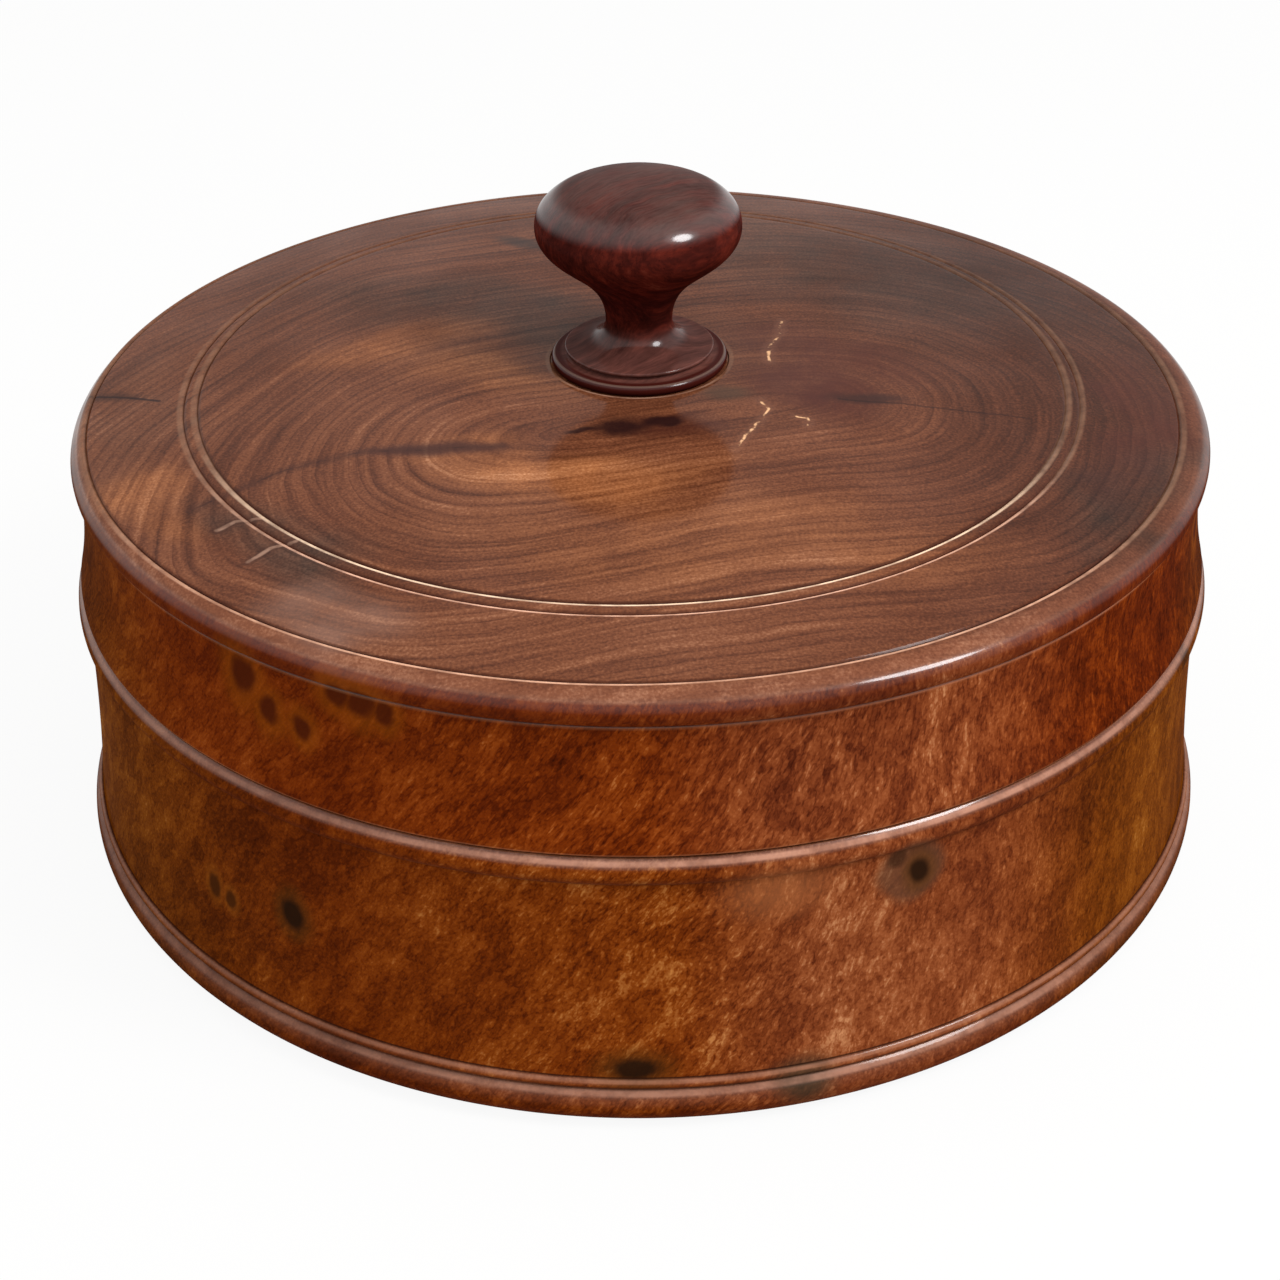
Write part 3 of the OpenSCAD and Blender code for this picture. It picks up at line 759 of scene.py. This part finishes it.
# how the shared wood differs: olive at the sides, rosy at the front right, livelier at the front, with painted light
# and shade across the walls

def bodyTint(x, look):
    colour = (x.ease(-45, -95, 0.6) + 0.25).blend(look["wall"], look["olive"])
    colour = x.ease(45, 88, 0.85).blend(colour, look["olive"])
    return (x.ease(2, 28, 0.75) * x.ease(78, 48)).blend(colour, look["rosy"])


def lidTint(x, look):
    colour = x.ease(-68, -97, 0.75).blend(look["wall"], look["olive"])
    colour = x.ease(84, 98, 0.6).blend(colour, look["olive"])
    return (x.ease(-2, 24, 0.75) * x.ease(74, 44)).blend(colour, look["rosy"])


bodyWood = dict(
    seed=(310.0, 120.0, 40.0), leanLeft=0.5, leanRight=0.1, leanZ=30.0, sway=0.05, stretch=0.5,
    marks=bodyMarks, lines=bodyLines, tint=bodyTint,
    lively=lambda x, patch: 0.42 + (patch - 0.5) * 0.6 + x.ease(-55, 5, 0.5) - x.ease(8, 45, 0.27) - x.ease(55, 90, 0.2),
    # light: painted light and shade: lighter across the middle and at the far left, darker on the plinth
    light=lambda x, z: x.ease(-45, 5, 0.22) - x.ease(10, 72, 0.22) + x.ease(62, 88, 0.07)
    + x.ease(-55, -95, 0.12) + z.ease(8.6, 7.0, -0.1) - 0.04,
    fade=lambda x, y: 0.0,
)
lidWood = dict(
    seed=(0.0, 0.0, 0.0), leanLeft=0.6, leanRight=0.08, leanZ=64.0, sway=0.05, stretch=0.36,
    marks=lidMarks, lines=lidLines, tint=lidTint,
    lively=lambda x, patch: 0.4 + (patch - 0.5) * 0.5 + x.ease(-60, -10, 0.5) - x.ease(20, 80, 0.2),
    # light: painted light and shade on the lid's wall: much darker towards the right edge, small steps elsewhere
    light=lambda x, z: x.ease(0, 30, 0.05) + x.ease(40, 85, -0.23) - x.ease(-25, -60, 0.05) + x.ease(-60, -95, 0.08) + 0.01,
    # fade: the end grain lighter at the front edge and the far left, darker towards the back and the right
    fade=lambda x, y: y.ease(-95, -50, -0.07) + y.ease(-30, 45, -0.08) + x.ease(20, 80, -0.2) + x.ease(-72, -90, 0.05) + 0.15,
)
body.data.materials.append(burlWood("burlBody", burl, bodyWood))
lid.data.materials.append(burlWood("burlLid", burl, lidWood))


# dark close-grained wood of the knob, and the wedge in its tenon

rosewood = dict(
    dark=lin(33, 11, 9), mid=lin(66, 23, 18), red=lin(92, 33, 24), pale=lin(120, 60, 45), pore=lin(20, 6, 6), turn=-38.0,
    foot=shades((54, 30, 27), (130, 88, 78)), dust=lin(78, 63, 58),
    waveSize=9.0, wave=(3.2, 3.2, 0), bandSize=1.5, threadSize=0.35, cloudSize=11.0, poreSize=0.28,
    flange=lin(62, 21, 16), flangeHighlight=lin(124, 102, 90), flangeHighlightAt=14.95,
    footFade=(93.0, 88.0), flangeFrom=(13.4, 14.2), flangeTop=(86.2, 86.0), flangeUpper=(85.2, 85.4),
    bumpStrength=0.05, bumpHeight=0.0003, coatRough=0.13, coatIndex=1.5,
)


def knobWood(name, k):
    material, t, shader = newMaterial(name)
    p = inMillimetres(t)
    turn = (0, 0, math.radians(k["turn"]))
    p = p.node("ShaderNodeMapping", {"vector_type": "POINT"}, {"Vector": p, "Rotation": turn, "Scale": (1, 1, 1)})
    grain = p.moved(p.stir(k["waveSize"]), k["wave"]).vector("MULTIPLY", (0.12, 1.0, 0.5))
    band = grain.noise(k["bandSize"], 3.0, 0.6)
    thread = grain.noise(k["threadSize"], 2.0, 0.6)
    cloud = p.noise(k["cloudSize"], 2.0, 0.5)
    pores = p.vector("MULTIPLY", (0.25, 1.0, 1.0)).noise(k["poreSize"], 1.0, 0.5)
    tone = 0.45 + (band - 0.5) * 1.1 + (thread - 0.5) * 0.5 + (cloud - 0.5) * 0.5
    colour = tone.ramp((0.0, k["dark"]), (0.4, k["mid"]), (0.65, k["red"]), (1.0, k["pale"]))
    colour = pores.ease(0.66, 0.78, 0.6).blend(colour, k["pore"])
    polish, dust = traitOf(t, "polish"), traitOf(t, "dust")
    x, y, z = p.parts()
    r = (x * x + y * y) ** 0.5
    # painted sheen and light: the flare near the foot paler and greyer
    colour = z.ease(*k["footFade"], 0.6).blend(colour, tone.ramp(*k["foot"]))
    # dust and painted sheen: a greyer veil on the upward top of the cap
    colour = (dust * (0.45 + (cloud - 0.5) * 0.9 + (thread - 0.5) * 0.8)).blend(colour, k["dust"])
    flange = r.ease(*k["flangeFrom"]) * z.ease(*k["flangeTop"])
    colour = flange.blend(colour, k["flange"])
    # a painted highlight along the flange's upper edge
    flangeGlint = abs(r - k["flangeHighlightAt"]).ease(0.26, 0.08, 0.45)
    colour = (flange * z.ease(*k["flangeUpper"]) * flangeGlint).blend(colour, k["flangeHighlight"])
    rough = 0.34 + (cloud - 0.5) * 0.12 + (thread - 0.5) * 0.08
    bump = thread.node("ShaderNodeBump", {}, {"Height": thread, "Strength": k["bumpStrength"], "Distance": k["bumpHeight"]})
    feed(shader, Base_Color=colour, Roughness=rough, Normal=bump, Coat_Weight=polish)
    feed(shader, Coat_Roughness=k["coatRough"], Coat_IOR=k["coatIndex"], Specular_IOR_Level=0.0)
    return material


knob.data.materials.append(knobWood("rosewoodKnob", rosewood))


wedgeLook = dict(size=0.4, stretch=0.08, dark=lin(120, 80, 44), pale=lin(190, 142, 90), rough=0.55)


def wedgeWood(name, k):
    material, t, shader = newMaterial(name)
    grain = inMillimetres(t).vector("MULTIPLY", (1.0, 1.0, k["stretch"])).noise(k["size"], 3.0, 0.6)
    colour = grain.ramp((0.25, k["dark"]), (0.75, k["pale"]))
    feed(shader, Base_Color=colour, Roughness=k["rough"] + (grain - 0.5) * 0.2)
    return material


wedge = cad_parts["knob_wedge"]
wedge.data.materials.clear()
wedge.data.materials.append(wedgeWood("wedgeWood", wedgeLook))
print("materials done")


# camera, floor and light

view = dict(distance=0.4368, aim=0.0253, lift=32.37, roll=-0.56, lens=64.6875, nudge=-0.0017)


def placeCamera(k):
    lift = math.radians(k["lift"])
    camera = bpy.data.objects.new("camera", bpy.data.cameras.new("camera"))
    scene.collection.objects.link(camera)
    place = Matrix.Translation((0, -k["distance"] * math.cos(lift), k["aim"] + k["distance"] * math.sin(lift)))
    tilt, roll = Matrix.Rotation(math.radians(90) - lift, 4, "X"), Matrix.Rotation(math.radians(k["roll"]), 4, "Z")
    camera.matrix_world = place @ tilt @ roll
    camera.data.sensor_width = 36
    camera.data.lens = k["lens"]
    camera.data.shift_x = k["nudge"]
    camera.data.clip_start = 0.01
    scene.camera = camera


placeCamera(view)

stage = dict(
    floorSize=6.0, floorColour=lin(226, 224, 221), floorWhite=0.92, world=0.5,
    keyPlace=(0.61, -0.31, 0.8), keyPower=5.7, keySize=0.32, windowPower=0.8, windowSize=0.6,
    softPlace=(0.0, -0.24, 1.2), softPower=9.0, softSize=1.6,
)


def seenRays(t):  # 1 for rays from the camera and for rays in reflections and glass
    rays = [t.node("ShaderNodeLightPath", out=name) for name in ("Is Camera Ray", "Is Glossy Ray", "Is Transmission Ray")]
    return rays[0].high(rays[1]).high(rays[2])


def paintWorld(k):
    scene.world = bpy.data.worlds.new("room")
    scene.world.use_nodes = True
    t = Tone(scene.world.node_tree)
    t.tree.nodes.clear()
    lit = t.node("ShaderNodeBackground", {}, {"Color": (1, 1, 1, 1), "Strength": k["world"]})
    shown = t.node("ShaderNodeBackground", {}, {"Color": (1, 1, 1, 1), "Strength": 1.0})
    both = t.node("ShaderNodeMixShader", {}, {0: seenRays(t), 1: lit, 2: shown})
    t.node("ShaderNodeOutputWorld", {}, {"Surface": both})


def layFloor(k):
    half, drop = k["floorSize"] / 2, -0.0002  # just under the box
    mesh = bpy.data.meshes.new("floor")
    corners = [(-half, -half, drop), (half, -half, drop), (half, half, drop), (-half, half, drop)]
    mesh.from_pydata(corners, [], [(0, 1, 2, 3)])
    material = bpy.data.materials.new("paleFloor")
    material.use_nodes = True
    t = Tone(material.node_tree)
    t.tree.nodes.clear()
    lit = t.node("ShaderNodeBsdfDiffuse", {}, {"Color": k["floorColour"]})
    white = t.node("ShaderNodeEmission", {}, {"Color": (1, 1, 1, 1), "Strength": 1.0})
    both = t.node("ShaderNodeMixShader", {}, {0: seenRays(t) * k["floorWhite"], 1: lit, 2: white})
    t.node("ShaderNodeOutputMaterial", {}, {"Surface": both})
    mesh.materials.append(material)
    floor = bpy.data.objects.new("floor", mesh)
    scene.collection.objects.link(floor)


def areaLight(name, place, size, power, mirrored=True):  # a disk that faces the middle of the box
    light = bpy.data.lights.new(name, "AREA")
    light.shape, light.size, light.energy = "DISK", size, power
    lamp = bpy.data.objects.new(name, light)
    middle = Vector((0, 0, 0.06))
    facing = (middle - Vector(place)).to_track_quat("-Z", "Y").to_matrix().to_4x4()
    lamp.matrix_world = Matrix.Translation(place) @ facing
    lamp.visible_camera, lamp.visible_glossy = False, mirrored
    scene.collection.objects.link(lamp)


paintWorld(stage)
layFloor(stage)
areaLight("keyLight", stage["keyPlace"], stage["keySize"], stage["keyPower"])
areaLight("windowLight", stage["keyPlace"], stage["windowSize"], stage["windowPower"])
areaLight("softLight", stage["softPlace"], stage["softSize"], stage["softPower"], False)

scene.view_settings.view_transform = "Standard"

print("scene ready")
